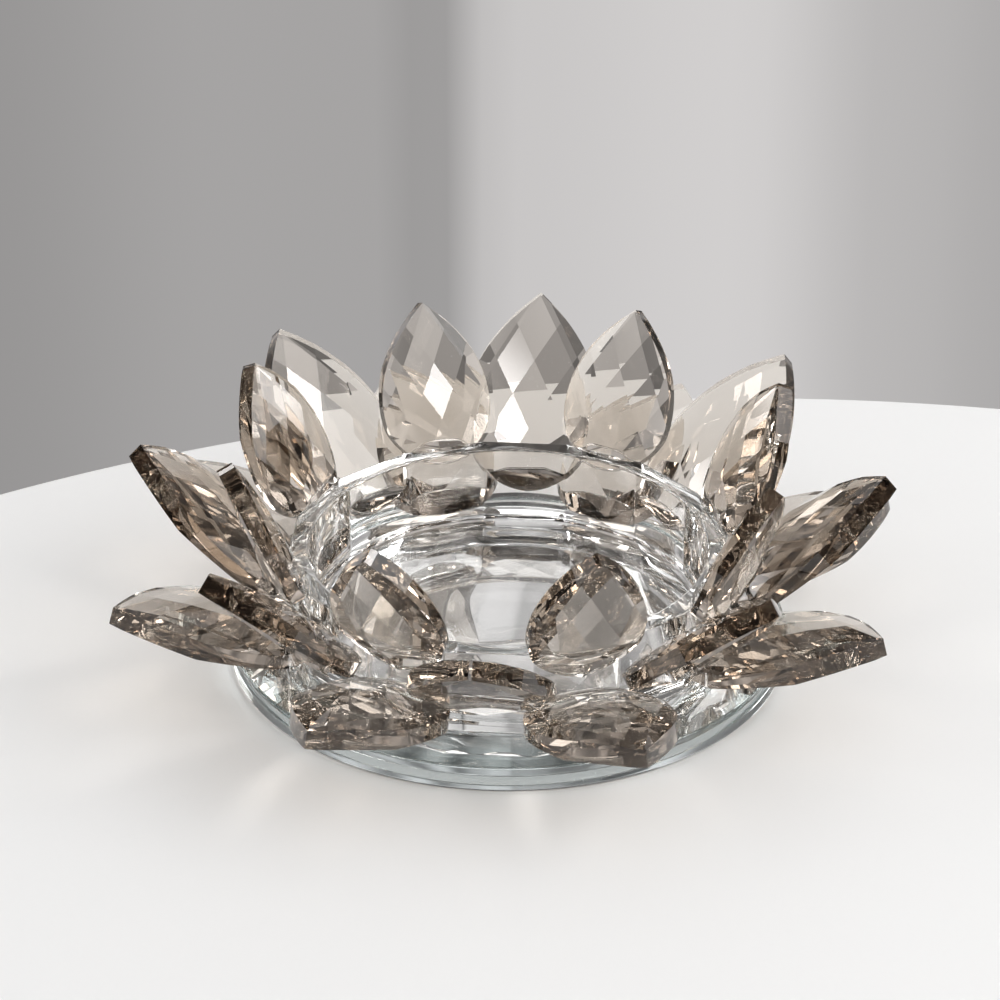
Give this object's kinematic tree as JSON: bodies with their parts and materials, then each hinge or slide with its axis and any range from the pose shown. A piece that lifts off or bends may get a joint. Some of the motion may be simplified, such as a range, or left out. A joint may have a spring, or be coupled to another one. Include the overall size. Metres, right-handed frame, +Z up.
{
  "type": "candle holder",
  "caption": "Lotus-flower candle holder: tiers of faceted smoke-grey glass petals bonded round a low clear glass bowl that stands on a flat round mirror.",
  "frame": {"origin": "centre of the mirror disc's underside", "axes": "+Z up along the bowl's axis, -Y to the front (towards one petal of the middle tier), +X to the right as seen from the front"},
  "size_m": [0.1714, 0.1727, 0.0571],
  "materials": {
    "disc_glass": "clear plate glass with polished bevelled edges, faintly grey-blue",
    "mirror_silver": "silver mirror coating, bright where it is seen through the glass and painted behind",
    "bowl_glass": "thick clear pressed glass, polished",
    "smoke_crystal": "smoke grey-brown crystal glass, cut in flat facets and polished",
    "clear_adhesive": "clear cured adhesive, a thin glossy film"
  },
  "bodies": {
    "root": {"base_disc": "disc_glass", "mirror_backing": "mirror_silver", "bowl": "bowl_glass", "bowl_adhesive": "clear_adhesive", "petal_inner_1": "smoke_crystal", "petal_inner_2": "smoke_crystal", "petal_inner_3": "smoke_crystal", "petal_inner_4": "smoke_crystal", "petal_inner_5": "smoke_crystal", "petal_inner_6": "smoke_crystal", "petal_inner_7": "smoke_crystal", "petal_inner_8": "smoke_crystal", "petal_middle_1": "smoke_crystal", "petal_middle_2": "smoke_crystal", "petal_middle_3": "smoke_crystal", "petal_middle_4": "smoke_crystal", "petal_middle_5": "smoke_crystal", "petal_middle_6": "smoke_crystal", "petal_middle_7": "smoke_crystal", "petal_middle_8": "smoke_crystal", "petal_outer_1": "smoke_crystal", "petal_outer_2": "smoke_crystal", "petal_outer_3": "smoke_crystal", "petal_outer_4": "smoke_crystal", "petal_outer_5": "smoke_crystal", "petal_outer_6": "smoke_crystal", "petal_outer_7": "smoke_crystal", "petal_outer_8": "smoke_crystal", "inner_petal_adhesive": "clear_adhesive", "middle_petal_adhesive": "clear_adhesive", "outer_petal_adhesive": "clear_adhesive"}
  },
  "joints": []
}
